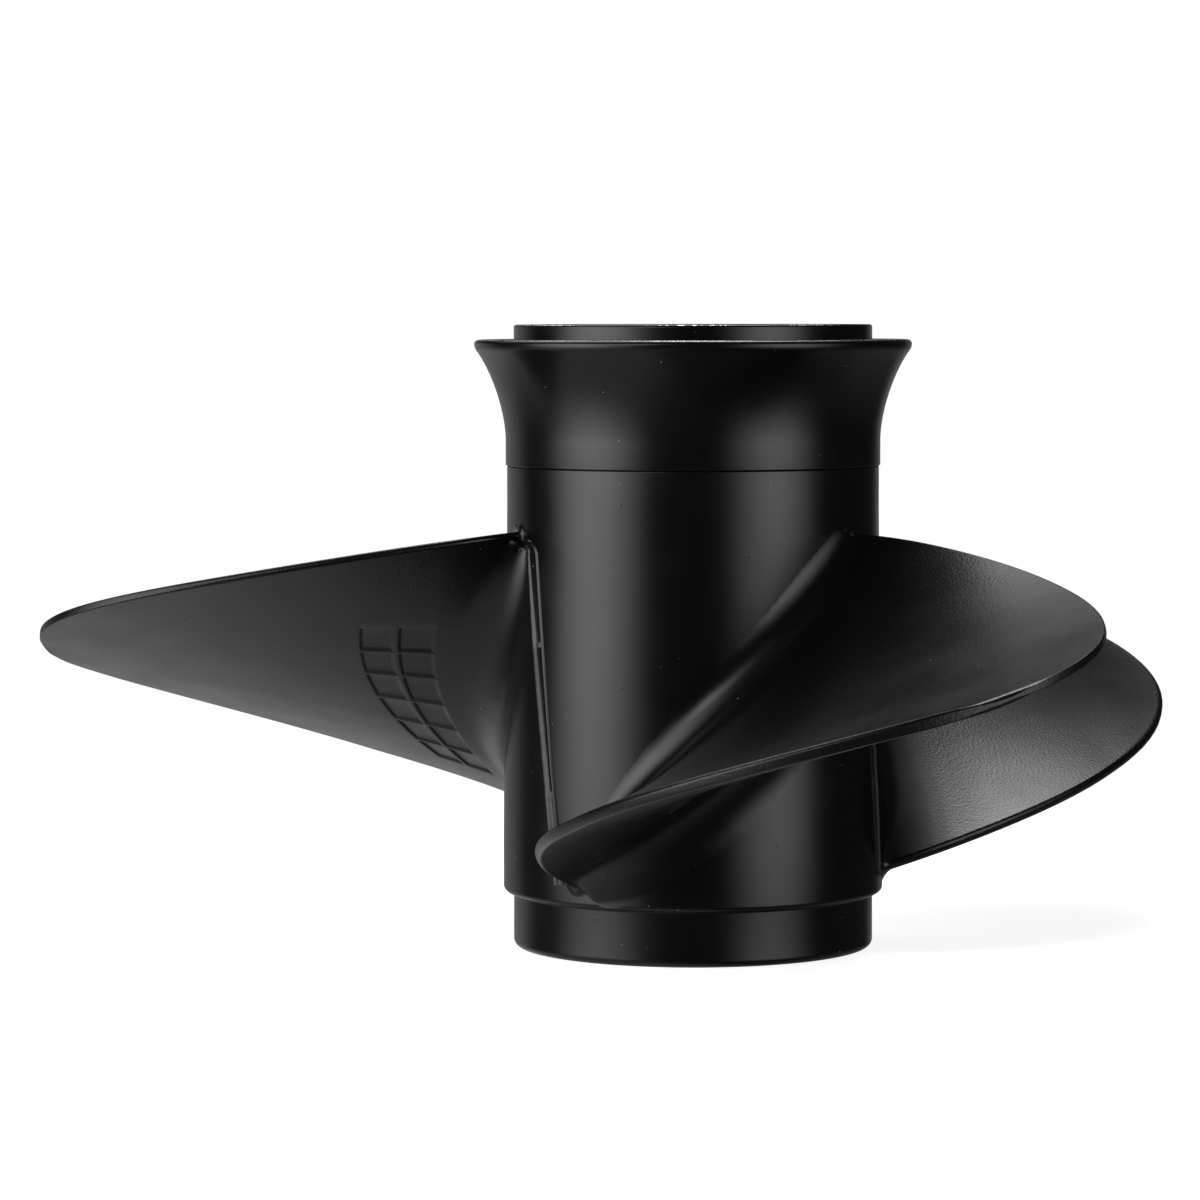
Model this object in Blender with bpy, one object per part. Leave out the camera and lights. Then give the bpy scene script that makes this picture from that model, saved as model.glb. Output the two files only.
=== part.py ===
"""Three-blade outboard boat propeller whose exhaust leaves through the hub.

The shaft lies along +Z and +Z points aft, so the part stands on its front rim.
The origin is on the shaft axis at the height of the centroid. Angles around the
shaft run from -Y towards +X. Heights named here are measured above the front rim.
"""

import math

import bmesh
import bpy
from mathutils import Vector

MM = 0.001

# Screw
DIAMETER = 295.3 * MM
PITCH = 279.4 * MM
BLADES = 3
SCREW_ANGLE = math.radians(12.0)
SCREW_HEIGHT = 56.3 * MM

# Frame and fits
ORIGIN_HEIGHT = 61.9 * MM
CLEARANCE = 0.3 * MM

# Barrel, outside
SPIGOT_RADIUS = 40.05 * MM
SPIGOT_TOP = 12.3 * MM
SPIGOT_ROUND = 1.0 * MM
BARREL_FRONT_RADIUS = 42.3 * MM
BARREL_AFT_RADIUS = 41.35 * MM
BARREL_FRONT_ROUND = 1.3 * MM
TAPER_START = 30.0 * MM
TAPER_END = 92.0 * MM
SEAM_HEIGHT = 107.3 * MM
RING_RADIUS = 39.8 * MM
RING_ROUND = 0.7 * MM
HUB_LENGTH = 138.5 * MM

# Barrel, inside
BORE_RADIUS = 36.8 * MM

# Diffuser flare around the aft end of the barrel
FLARE_FOOT_RADIUS = 41.65 * MM
FLARE_FOOT_ROUND = 0.8 * MM
FLARE_BEND_START = 112.8 * MM
FLARE_BEND_RADIUS = 34.0 * MM
FLARE_BEND_ANGLE = 35.5
FLARE_LIP_RADIUS = 48.6 * MM
FLARE_LIP_ROUND = 1.2 * MM
FLARE_TOP = 135.2 * MM

# Inner hub and the ribs that carry it
INNER_HUB_RADIUS = 26.0 * MM
INNER_HUB_BORE = 22.3 * MM
INNER_HUB_FRONT = 10.0 * MM
INNER_HUB_AFT = 100.0 * MM
INNER_HUB_CHAMFER = 1.2 * MM
RIB_THICKNESS = 6.5 * MM
RIB_FRONT = 17.0 * MM
RIB_AFT = 97.0 * MM
RIB_ROUND = 2.0 * MM

# Rubber bushing
BUSHING_FRONT = 14.0 * MM
BUSHING_AFT = 94.0 * MM
BUSHING_ROUND = 3.0 * MM

# Splined sleeve
SLEEVE_RADIUS = 14.6 * MM
SLEEVE_FRONT = 8.0 * MM
SLEEVE_AFT = 98.0 * MM
SPLINE_TEETH = 13
SPLINE_GROOVE_RADIUS = 12.5 * MM
SPLINE_TOOTH_RADIUS = 11.2 * MM
SPLINE_GROOVE_SHARE = 0.42
SPLINE_FLANK_SHARE = 0.12

# Blade section
ROOT_THICKNESS = 9.5 * MM
TIP_THICKNESS = 2.0 * MM
THICKNESS_POWER = 1.15
THICKEST_SHARE = 0.45
FULL_CAMBER_CHORD = 20.0 * MM
LEADING_EDGE = 2.6 * MM
TRAILING_EDGE = 1.7 * MM
EDGE_SQUARENESS = 4.0
LEADING_LIFT = 3.3 * MM
TRAILING_LIFT = 0.4 * MM
FACE_FILLET = 7.5 * MM
EDGE_FILLET = 4.5 * MM

# Blade outline in degrees, as terms in the share of the span from barrel to tip
OUTLINE_ROOT = 41.8 * MM
MIDLINE_TERMS = (8.0, 19.4, -18.7, 15.4)
HALF_WIDTH_TERMS = (50.8, -28.4, -11.2, 9.9)
TIP_ROUNDING = 5.2

# Fineness
BARREL_STEPS = 72
INNER_STEPS = 48
CHORD_STEPS = 16
NOSE_STEPS = 2
FILLET_LOOPS = 4
SPAN_LOOPS = 15
TIP_GAPS = (0.35 * MM, 0.05 * MM)
ROOT_ROWS = 6
WELD_DISTANCE = 0.001 * MM


def clear_scene():
    for obj in list(bpy.data.objects):
        bpy.data.objects.remove(obj, do_unlink=True)


def material(name, colour, roughness, metallic):
    finish = bpy.data.materials.new(name)
    finish.use_nodes = True
    shader = finish.node_tree.nodes["Principled BSDF"]
    shader.inputs["Base Color"].default_value = (*colour, 1.0)
    shader.inputs["Roughness"].default_value = roughness
    shader.inputs["Metallic"].default_value = metallic
    return finish


def smooth_mesh(name, bm, sharp_angle=35.0):
    """Welds, closes and shades a bmesh, and returns it as a mesh."""
    bmesh.ops.remove_doubles(bm, verts=bm.verts, dist=WELD_DISTANCE)
    bmesh.ops.recalc_face_normals(bm, faces=bm.faces)
    mesh = bpy.data.meshes.new(name)
    bm.to_mesh(mesh)
    bm.free()
    mesh.shade_smooth()
    mesh.set_sharp_from_angle(angle=math.radians(sharp_angle))
    return mesh


def place(name, mesh, finish, parent, turn=0.0):
    """Links a mesh as an object under the shaft, turned around it by an angle."""
    obj = bpy.data.objects.new(name, mesh)
    bpy.context.scene.collection.objects.link(obj)
    obj.parent = parent
    obj.rotation_euler.z = turn
    if not mesh.materials:
        mesh.materials.append(finish)
    obj.material_slots[0].link = "OBJECT"
    obj.material_slots[0].material = finish
    return obj


def arc(centre, radius, start, end, steps):
    """Points on an arc in the (radius, height) half plane, angles in degrees."""
    points = []
    for index in range(steps + 1):
        angle = math.radians(start + (end - start) * index / steps)
        points.append((centre[0] + radius * math.cos(angle), centre[1] + radius * math.sin(angle)))
    return points


def turned(outline, steps):
    """Spins a closed outline of (radius, height) points into a ring."""
    bm = bmesh.new()
    corners = [bm.verts.new((radius, 0.0, height)) for radius, height in outline]
    edges = [bm.edges.new((corners[i - 1], corners[i])) for i in range(len(corners))]
    bmesh.ops.spin(
        bm, geom=corners + edges, cent=(0.0, 0.0, 0.0), axis=(0.0, 0.0, 1.0),
        angle=math.tau, steps=steps, use_merge=True,
    )
    return bm


def barrel_radius(height):
    """Outer radius of the barrel between its front edge and the seam."""
    share = (height - TAPER_START) / (TAPER_END - TAPER_START)
    share = min(max(share, 0.0), 1.0)
    return BARREL_FRONT_RADIUS + (BARREL_AFT_RADIUS - BARREL_FRONT_RADIUS) * share


def barrel_outline():
    """Front spigot, tapered body, shoulder for the flare and rear ring."""
    shoulder = SEAM_HEIGHT - CLEARANCE
    front_edge = (BARREL_FRONT_RADIUS - BARREL_FRONT_ROUND, SPIGOT_TOP + BARREL_FRONT_ROUND)
    points = [(BORE_RADIUS, 0.0)]
    points += arc((SPIGOT_RADIUS - SPIGOT_ROUND, SPIGOT_ROUND), SPIGOT_ROUND, -90, 0, 3)
    points.append((SPIGOT_RADIUS, SPIGOT_TOP))
    points += arc(front_edge, BARREL_FRONT_ROUND, -85, 0, 4)
    points.append((BARREL_FRONT_RADIUS, TAPER_START))
    points.append((BARREL_AFT_RADIUS, TAPER_END))
    points.append((BARREL_AFT_RADIUS, shoulder))
    points.append((RING_RADIUS, shoulder))
    points += arc((RING_RADIUS - RING_ROUND, HUB_LENGTH - RING_ROUND), RING_ROUND, 0, 90, 2)
    points.append((BORE_RADIUS, HUB_LENGTH))
    return points


def flare_outline():
    """Straight foot, outward bend and rounded lip."""
    inner = RING_RADIUS + CLEARANCE
    foot = (FLARE_FOOT_RADIUS - FLARE_FOOT_ROUND, SEAM_HEIGHT + FLARE_FOOT_ROUND)
    bend = (FLARE_FOOT_RADIUS + FLARE_BEND_RADIUS, FLARE_BEND_START)
    lip = (FLARE_LIP_RADIUS - FLARE_LIP_ROUND, FLARE_TOP - FLARE_LIP_ROUND)
    points = [(inner, SEAM_HEIGHT)]
    points += arc(foot, FLARE_FOOT_ROUND, -90, 0, 2)
    points += arc(bend, FLARE_BEND_RADIUS, 180, 180 - FLARE_BEND_ANGLE, 7)
    points += arc(lip, FLARE_LIP_ROUND, -10, 90, 4)
    points.append((inner, FLARE_TOP))
    return points


def inner_hub_outline():
    edge = INNER_HUB_CHAMFER
    return [
        (INNER_HUB_BORE + edge, INNER_HUB_FRONT),
        (INNER_HUB_RADIUS - edge, INNER_HUB_FRONT),
        (INNER_HUB_RADIUS, INNER_HUB_FRONT + edge),
        (INNER_HUB_RADIUS, INNER_HUB_AFT - edge),
        (INNER_HUB_RADIUS - edge, INNER_HUB_AFT),
        (INNER_HUB_BORE + edge, INNER_HUB_AFT),
        (INNER_HUB_BORE, INNER_HUB_AFT - edge),
        (INNER_HUB_BORE, INNER_HUB_FRONT + edge),
    ]


def bushing_outline():
    """Plain rubber tube with rounded outer edges."""
    inner = SLEEVE_RADIUS + CLEARANCE
    outer = INNER_HUB_BORE - CLEARANCE
    centre = outer - BUSHING_ROUND
    points = [(inner, BUSHING_FRONT)]
    points += arc((centre, BUSHING_FRONT + BUSHING_ROUND), BUSHING_ROUND, -90, 0, 3)
    points += arc((centre, BUSHING_AFT - BUSHING_ROUND), BUSHING_ROUND, 0, 90, 3)
    points.append((inner, BUSHING_AFT))
    return points


def splined_sleeve():
    """Tube with straight-sided teeth in its bore, drawn as a flat annulus and extruded."""
    bm = bmesh.new()
    corners = (
        (0.0, SPLINE_GROOVE_RADIUS),
        (SPLINE_GROOVE_SHARE, SPLINE_GROOVE_RADIUS),
        (SPLINE_GROOVE_SHARE + SPLINE_FLANK_SHARE, SPLINE_TOOTH_RADIUS),
        (1.0 - SPLINE_FLANK_SHARE, SPLINE_TOOTH_RADIUS),
    )
    bore = []
    outside = []
    for tooth in range(SPLINE_TEETH):
        for share, radius in corners:
            angle = math.tau * (tooth + share) / SPLINE_TEETH
            direction = Vector((math.sin(angle), -math.cos(angle), 0.0))
            end = Vector((0.0, 0.0, SLEEVE_FRONT))
            bore.append(bm.verts.new(direction * radius + end))
            outside.append(bm.verts.new(direction * SLEEVE_RADIUS + end))
    rings = []
    for ring in (bore, outside):
        rings += [bm.edges.new((ring[i - 1], ring[i])) for i in range(len(ring))]
    annulus = bmesh.ops.bridge_loops(bm, edges=rings)["faces"]
    raised = bmesh.ops.extrude_face_region(bm, geom=annulus, use_keep_orig=True)["geom"]
    tops = [item for item in raised if isinstance(item, bmesh.types.BMVert)]
    bmesh.ops.translate(bm, verts=tops, vec=(0.0, 0.0, SLEEVE_AFT - SLEEVE_FRONT))
    return bm


def rib():
    """Radial plate from the inner hub to the barrel, with rounded front and aft ends."""
    bm = bmesh.new()
    inside = INNER_HUB_RADIUS + CLEARANCE
    outside = math.sqrt((BORE_RADIUS - CLEARANCE) ** 2 - (RIB_THICKNESS / 2) ** 2)
    size = Vector((RIB_THICKNESS, outside - inside, RIB_AFT - RIB_FRONT))
    centre = Vector((0.0, -(inside + outside) / 2, (RIB_FRONT + RIB_AFT) / 2))
    bmesh.ops.create_cube(bm, size=1.0)
    bmesh.ops.scale(bm, verts=bm.verts, vec=size)
    radial = [edge for edge in bm.edges if abs(edge.verts[0].co.y - edge.verts[1].co.y) > size.y / 2]
    bmesh.ops.bevel(
        bm, geom=radial, offset=RIB_ROUND, offset_type="OFFSET",
        segments=3, profile=0.5, affect="EDGES", material=-1,
    )
    bmesh.ops.translate(bm, verts=bm.verts, vec=centre)
    return bm


def polynomial(terms, value):
    return sum(term * value ** power for power, term in enumerate(terms))


def fullness(span):
    """1 over most of the span, falling to 0 where the outline closes at the tip."""
    return math.sqrt(max(1.0 - max(span, 0.0) ** TIP_ROUNDING, 0.0))


def edge_angles(span):
    """Angles of the leading and trailing edge at a share of the span."""
    middle = polynomial(MIDLINE_TERMS, span)
    half = polynomial(HALF_WIDTH_TERMS, span) * fullness(span)
    return math.radians(middle - half), math.radians(middle + half)


def edge_lift(span, share):
    """How far the section curls aft of the plain screw towards its two edges."""
    lift = LEADING_LIFT if share < 0.5 else TRAILING_LIFT
    return lift * (1.0 - 2.0 * share) ** 2 * fullness(span)


def fillet_growth(size, distance):
    """How far a root fillet stands out from the blade at a distance from the barrel."""
    if distance >= size:
        return 0.0
    return size - math.sqrt(size ** 2 - (size - distance) ** 2)


def edge_arc(centre, radius, start, end, steps):
    """Points inside a squarish arc around a blade edge, without its two ends."""
    power = EDGE_SQUARENESS
    points = []
    for along, offset in arc((0.0, 0.0), 1.0, start, end, steps)[1:-1]:
        reach = radius / (abs(along) ** power + abs(offset) ** power) ** (1.0 / power)
        points.append((centre + along * reach, offset * reach))
    return points


def section(distance):
    """Loop of (angle, height) points around the blade at a distance from the barrel.

    It starts at the leading edge, runs along the aft face to the trailing edge and
    comes back along the forward face. The aft face is a screw surface that curls
    aft near the edges, and the forward face is crowned as well.
    """
    radius = OUTLINE_ROOT + distance
    span = distance / (DIAMETER / 2 - OUTLINE_ROOT)
    leading, trailing = edge_angles(span)
    slope = math.atan2(PITCH, math.tau * radius)
    chord = (trailing - leading) * radius / math.cos(slope)

    tip_gap = min((DIAMETER / 2 - radius) / (LEADING_EDGE / 2), 1.0)
    tip_round = math.sqrt(1.0 - (1.0 - tip_gap) ** 2)
    nose = LEADING_EDGE / 2 * tip_round
    tail = TRAILING_EDGE / 2 * tip_round
    thickness = TIP_THICKNESS + (ROOT_THICKNESS - TIP_THICKNESS) * (1.0 - span) ** THICKNESS_POWER
    crown = (thickness - nose - tail) * min(1.0, chord / FULL_CAMBER_CHORD) * tip_round

    aft_face = []
    forward_face = []
    for step in range(CHORD_STEPS + 1):
        share = 0.5 - 0.5 * math.cos(math.pi * step / CHORD_STEPS)
        reach = THICKEST_SHARE if share < THICKEST_SHARE else 1.0 - THICKEST_SHARE
        camber = 1.0 - ((share - THICKEST_SHARE) / reach) ** 2
        size = EDGE_FILLET + (FACE_FILLET - EDGE_FILLET) * math.sin(math.pi * share)
        along = nose + (chord - nose - tail) * share
        half = nose + (tail - nose) * share + fillet_growth(size, distance)
        aft_face.append((along, half))
        forward_face.append((along, -half - crown * camber))
    grown = fillet_growth(EDGE_FILLET, distance)
    loop = [(-grown, 0.0)]
    loop += edge_arc(nose, nose + grown, 180, 90, NOSE_STEPS)
    loop += aft_face
    loop += edge_arc(chord - tail, tail + grown, 90, -90, 2 * NOSE_STEPS)
    loop += reversed(forward_face)
    loop += edge_arc(nose, nose + grown, 270, 180, NOSE_STEPS)

    start_height = SCREW_HEIGHT + PITCH * (leading - SCREW_ANGLE) / math.tau
    points = []
    for along, offset in loop:
        share = min(max(along / chord, 0.0), 1.0)
        angle = leading + (along * math.cos(slope) - offset * math.sin(slope)) / radius
        height = start_height + along * math.sin(slope) + offset * math.cos(slope)
        height += edge_lift(span, share)
        points.append((angle, height))
    return points


def on_blade(angle, height, distance):
    """Position of a blade point; the barrel's taper fades out towards the tip."""
    span = distance / (DIAMETER / 2 - OUTLINE_ROOT)
    radius = OUTLINE_ROOT + distance + (barrel_radius(height) - OUTLINE_ROOT) * (1.0 - span)
    return Vector((radius * math.sin(angle), -radius * math.cos(angle), height))


def blade_distances():
    """Distances from the barrel at which the blade has a section."""
    span = DIAMETER / 2 - OUTLINE_ROOT
    first = math.acos(1.0 - CLEARANCE / FACE_FILLET)
    distances = []
    for index in range(FILLET_LOOPS):
        turn = first + (math.pi / 2 - first) * index / FILLET_LOOPS
        distances.append(FACE_FILLET * (1.0 - math.cos(turn)))
    for index in range(SPAN_LOOPS):
        share = math.sin(math.pi / 2 * index / SPAN_LOOPS)
        distances.append(FACE_FILLET + (span - FACE_FILLET) * share)
    return distances + [span - gap for gap in TIP_GAPS]


def shaped_grid(bm, columns, rows, position):
    """Adds a grid and moves each of its vertices to position(column, row)."""
    grid = bmesh.ops.create_grid(bm, x_segments=columns, y_segments=rows, size=1.0)["verts"]
    for vert in grid:
        column = round((vert.co.x + 1.0) / 2 * columns)
        row = round((vert.co.y + 1.0) / 2 * rows)
        vert.co = position(column, row)


def blade():
    """Skin wrapped around the sections, closed by a cap at the root and at the tip."""
    distances = blade_distances()
    sections = [section(distance) for distance in distances]
    count = len(sections[0])

    def on_skin(column, row):
        return on_blade(*sections[row][column % count], distances[row])

    def on_cap(row, cap_rows):
        def position(column, cap_row):
            aft = sections[row][column]
            forward = sections[row][-column]
            share = cap_row / cap_rows
            angle = aft[0] + (forward[0] - aft[0]) * share
            height = aft[1] + (forward[1] - aft[1]) * share
            return on_blade(angle, height, distances[row])
        return position

    bm = bmesh.new()
    shaped_grid(bm, count, len(sections) - 1, on_skin)
    shaped_grid(bm, count // 2, ROOT_ROWS, on_cap(0, ROOT_ROWS))
    shaped_grid(bm, count // 2, 1, on_cap(len(sections) - 1, 1))
    return bm


def main():
    clear_scene()
    paint = (0.012, 0.012, 0.013)
    barrel_paint = material("barrel_paint", paint, 0.32, 0.0)
    flare_paint = material("flare_paint", paint, 0.34, 0.0)
    core_paint = material("inner_hub_paint", (0.02, 0.02, 0.021), 0.5, 0.0)
    rubber = material("bushing_rubber", (0.015, 0.014, 0.014), 0.85, 0.0)
    brass = material("sleeve_brass", (0.62, 0.44, 0.18), 0.3, 1.0)

    front_rim = bpy.data.objects.new("front_rim", None)
    front_rim.location.z = -ORIGIN_HEIGHT
    bpy.context.scene.collection.objects.link(front_rim)

    barrel = smooth_mesh("barrel", turned(barrel_outline(), BARREL_STEPS))
    flare = smooth_mesh("diffuser_flare", turned(flare_outline(), BARREL_STEPS))
    inner_hub = smooth_mesh("inner_hub", turned(inner_hub_outline(), INNER_STEPS))
    bushing = smooth_mesh("rubber_bushing", turned(bushing_outline(), INNER_STEPS))
    place("barrel", barrel, barrel_paint, front_rim)
    place("diffuser_flare", flare, flare_paint, front_rim)
    place("inner_hub", inner_hub, core_paint, front_rim)
    place("rubber_bushing", bushing, rubber, front_rim)
    place("splined_sleeve", smooth_mesh("splined_sleeve", splined_sleeve()), brass, front_rim)

    blade_mesh = smooth_mesh("blade", blade(), sharp_angle=60.0)
    rib_mesh = smooth_mesh("rib", rib())
    for number in range(1, BLADES + 1):
        turn = math.tau * (number - 1) / BLADES
        blade_paint = material(f"blade_{number}_paint", paint, 0.36, 0.0)
        rib_paint = material(f"rib_{number}_paint", paint, 0.5, 0.0)
        place(f"blade_{number}", blade_mesh, blade_paint, front_rim, turn)
        place(f"rib_{number}", rib_mesh, rib_paint, front_rim, turn)


main()
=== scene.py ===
"""Looks of an outboard boat propeller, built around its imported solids.

Lengths are in metres. +Z points aft along the shaft. Angles around the shaft run
from -Y towards +X, and heights named here are measured above the front rim.
"""

import math

import bmesh
import bpy
from bpy.props import FloatProperty, FloatVectorProperty, PointerProperty
from bpy.types import Operator, Panel, PropertyGroup
from mathutils import Euler, Matrix, Vector, noise


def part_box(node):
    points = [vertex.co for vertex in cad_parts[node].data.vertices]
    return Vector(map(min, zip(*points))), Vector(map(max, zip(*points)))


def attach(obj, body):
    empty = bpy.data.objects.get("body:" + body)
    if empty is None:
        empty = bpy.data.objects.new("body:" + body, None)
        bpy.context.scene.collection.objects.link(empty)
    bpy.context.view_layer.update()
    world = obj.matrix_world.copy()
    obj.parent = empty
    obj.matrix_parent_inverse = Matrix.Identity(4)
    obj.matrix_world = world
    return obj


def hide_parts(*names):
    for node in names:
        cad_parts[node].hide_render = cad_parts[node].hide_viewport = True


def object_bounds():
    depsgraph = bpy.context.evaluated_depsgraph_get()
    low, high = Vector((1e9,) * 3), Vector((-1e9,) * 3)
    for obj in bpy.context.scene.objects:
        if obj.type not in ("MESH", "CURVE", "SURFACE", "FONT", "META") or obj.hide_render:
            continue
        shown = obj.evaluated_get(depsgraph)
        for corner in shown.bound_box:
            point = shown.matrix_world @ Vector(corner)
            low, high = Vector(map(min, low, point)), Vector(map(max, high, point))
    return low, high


bl_info = {
    "name": "Outboard Boat Propeller",
    "version": (1, 0, 0),
    "blender": (4, 5, 0),
    "location": "3D View > Sidebar > Propeller",
    "description": "Dresses the solids of an outboard boat propeller and sets up a plain studio",
    "category": "Object",
}

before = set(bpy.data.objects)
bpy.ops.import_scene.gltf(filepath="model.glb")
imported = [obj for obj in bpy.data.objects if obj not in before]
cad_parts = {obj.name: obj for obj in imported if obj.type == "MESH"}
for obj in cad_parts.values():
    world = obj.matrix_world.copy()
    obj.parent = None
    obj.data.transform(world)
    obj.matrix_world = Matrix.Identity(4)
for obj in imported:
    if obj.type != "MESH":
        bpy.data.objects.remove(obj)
CAD_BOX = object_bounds()

MM = 0.001
FRONT_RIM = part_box("barrel")[0].z
HUB_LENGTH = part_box("barrel")[1].z - FRONT_RIM
SEAM_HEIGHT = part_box("diffuser_flare")[0].z - FRONT_RIM
FLARE_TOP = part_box("diffuser_flare")[1].z - FRONT_RIM
WELD_DISTANCE = 0.001 * MM
FIT_GAP = 0.05 * MM
BLADES = 3

# Blade outline in degrees, as terms in the share of the span from barrel to tip
ROOT_CYLINDER = 41.8 * MM
MIDLINE_TERMS = (8.0, 19.4, -18.7, 15.4)
HALF_WIDTH_TERMS = (50.8, -28.4, -11.2, 9.9)
TIP_ROUNDING = 5.2
SCREW_ANGLE = math.radians(12.0)
SCREW_HEIGHT = 56.3 * MM

# Blade section
THICKNESS_POWER = 1.15
THICKEST_SHARE = 0.45
FULL_CAMBER_CHORD = 20.0 * MM
EDGE_LIFTS = (3.3 * MM, 0.4 * MM)
LEADING_TURN = math.radians(2.5)
TURN_FADE = (0.973, 0.55)
ROOT_TURN = math.radians(3.0)
ROOT_TURN_REACH = 17.0 * MM
TRAILING_TURN = math.radians(-4.0)
AFT_FILLET_POWERS = (1.0, 0.3)
FORWARD_FILLET_POWER = 0.3
SQUARENESS = (2.2, 5.0)
SQUARE_SPAN = (0.62, 0.95)
EASED_SPAN = (0.45, 0.75)
EASED_REACH = 2.3 * MM
EASED_SHARE = 0.5
EASED_POWER = 1.3
FOOT_REACH = 1.0 * MM
FOOT_DEPTH = 0.03 * MM

# Grid of sunk cells in the forward face, between radii and shares of the chord
GRID_RADII = (56.4 * MM, 64.8 * MM, 72.7 * MM)
GRID_SHARES = (0.269, 0.357, 0.449, 0.538, 0.626, 0.704, 0.784)
CELL_DEPTH = 0.5 * MM
RADIUS_WALLS = (0.25 * MM, 1.35 * MM, 0.8 * MM)
SHARE_WALLS = (0.0014, 0.0105, 0.0060)
WALL_STEPS = (0.0, 0.12, 0.3, 0.5, 0.7, 0.88, 1.0)
GRID_LEAN = 2.1 * MM
LEAN_START = 8.0 * MM
LEAN_END = 20.0 * MM
LEAN_FADE = 18.0 * MM

# Fineness of the blade skin
CHORD_STEPS = 48
EDGE_STEPS = 12
FILLET_ROWS = 18
SPAN_ROWS = 22
TIP_ROWS = 26
TIP_ZONE = 0.62
TIP_GAP = 0.02 * MM
CAP_ROWS = 8
ROWS_APART = 0.3 * MM
SHARES_APART = 0.002

# Barrel and flare, outside
SPIGOT_TOP = 12.3 * MM
TAPER_START = 30.0 * MM
TAPER_END = 92.0 * MM
SEAM_LINE = 0.12 * MM
FLARE_KNEE = 123.7 * MM
LIP_HEIGHT = 133.45 * MM
LATHE_STEPS = 256

# The mould's parting line, from a trailing edge's root to the next leading edge's root
PARTING_TOP = (math.radians(-57.5), 88.4 * MM)
PARTING_BOTTOM = (math.radians(-42.8), 17.0 * MM)
PARTING_HOOK = 2.9 * MM
PARTING_RUN = 4.0 * MM
HOOK_SQUEEZE = 0.3
SQUEEZE_POWER = 1.5
HOOK_STEPS = 16
RUN_STEPS = 8
PARTING_STEPS = 400

# Its two ridges, and the slot in the valley between them
RIDGE_SPACING = (3.0 * MM, 0.5 * MM)
LEAST_SPACING = 1.4 * MM
LEFT_WIDTH = (0.6 * MM, 1.3 * MM)
LEFT_RISE = (0.34 * MM, 0.58 * MM)
LEFT_GROWTH = 0.3
LEFT_FLANK = (0.45 * MM, 0.30 * MM, 0.12 * MM, 0.0)
LEFT_FALL = ((0.15, 0.93), (0.35, 0.72), (0.6, 0.4), (0.8, 0.15), (1.0, 0.0))
RIGHT_WIDTH = 0.72 * MM
RIGHT_RISE = 0.34 * MM
RIGHT_FLANK = 0.06 * MM
RIGHT_FALL = ((0.08, 1.0), (0.25, 0.9), (0.5, 0.6), (0.75, 0.25), (1.0, 0.0))
RIGHT_FOOT = 1.25
VALLEY_RISE = (0.06 * MM, 0.26 * MM)
VALLEY_WIDTH = 0.04 * MM
SLOT_WIDTH = 0.15 * MM
SLOT_INSET = 0.34 * MM
SLOT_WANDER = 0.10 * MM
SLOT_BOTTOM = 0.01 * MM
SLOT_ENDS = (0.25, 0.75)
SLOT_FADE = 0.04
BURIED = -0.35 * MM
NOISE_SCALES = (190.0, 35.0)
NOISE_LAYER = 4.0

# Inside of the barrel
CORE_STEPS = 160
INNER_ENDS = (10.0 * MM, 100.0 * MM)
INNER_ROUNDING = 1.2 * MM
RIB_ENDS = (17.0 * MM, 97.0 * MM)
RIB_FILLET = 3.0 * MM
RIB_SQUARENESS = 3.0
RIB_ROWS = 8
RIB_END_STEPS = 8
RIB_SIDE_STEPS = 20
RIB_CAP_ROWS = 4
BUSHING_ENDS = (14.0 * MM, 94.0 * MM)
SLEEVE_ENDS = (8.0 * MM, 98.0 * MM)
SLEEVE_CHAMFER = 0.35 * MM
SLEEVE_RIM_ANGLE = math.radians(60.0)
SPLINE_TEETH = 13
GROOVE_SHARES = (0.0, 0.14, 0.28, 0.42)
TOOTH_SHARES = (0.53, 0.65, 0.77, 0.89)

# Finishes; the paint's grain starts outside the smooth radius around the shaft
ACROSS_SHAFT = (1.0, 1.0, 0.0)
UP = (0.0, 0.0, 1.0)
SMOOTH_RADIUS = 49.0 * MM
GRAIN_FADE = 14.0 * MM
LEAST_GRAIN = 0.04
ROUGHNESS_SPREAD = (-0.015, 0.03)
BARE_ROUGHNESS = 0.3
DUST_COLOUR = (0.35, 0.35, 0.34, 1.0)
TARNISH_SHADES = (0.62, 0.52, 0.5)
CORE_LOOK = {"lighter": 2.0, "smooth_radius": 0.0}

# Camera
CAMERA_YAW = math.radians(1.134)
CAMERA_PITCH = math.radians(3.529)
CAMERA_ROLL = math.radians(-0.0754)
SENSOR_WIDTH = 36.0

# Softboxes: azimuth (0 over the camera, 90 on its right), elevation, distance, width, height
AIM = Vector((0.0, 0.0, FRONT_RIM + 70.0 * MM))
SOFTBOXES = {
    "left": (-62.0, 9.0, 0.9, 1.42, 1.56),
    "right": (50.0, 4.0, 1.0, 1.3, 1.5),
    "top": (165.0, 62.0, 1.03, 0.68, 0.76),
    "back": (207.0, 56.0, 1.15, 1.05, 1.3),
    "front": (-29.0, 28.0, 1.0, 0.55, 0.55),
}

# Room that reflections show: its directions, and each ramp's start, end, first and last value
WHITE = (1.0, 1.0, 1.0, 1.0)
FRONT_RIGHT = (0.57, -0.82, 0.0)
RIGHT = (1.0, 0.0, 0.0)
BACK_LEFT = (-0.25, 1.0, 0.0)
FRONT_RIGHT_SHADE = (0.1, 0.6, 1.0, 0.12)
RIGHT_SHADE = (0.0, 0.25, 1.0, 0.35)
FLOOR_BORDER = (-0.1, -0.6)
WALL_GLOW = (0.7, 0.95, 0.0, 0.27)
WALL_TOP = (0.0, 0.3, 1.0, 0.0)
ROOM_GLOW = 0.02

# Floor that the camera sees
FLOOR_RADIUS = 2.0
FLOOR_STEPS = 96
FLOOR_FADE = (0.12, 0.45)


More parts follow.
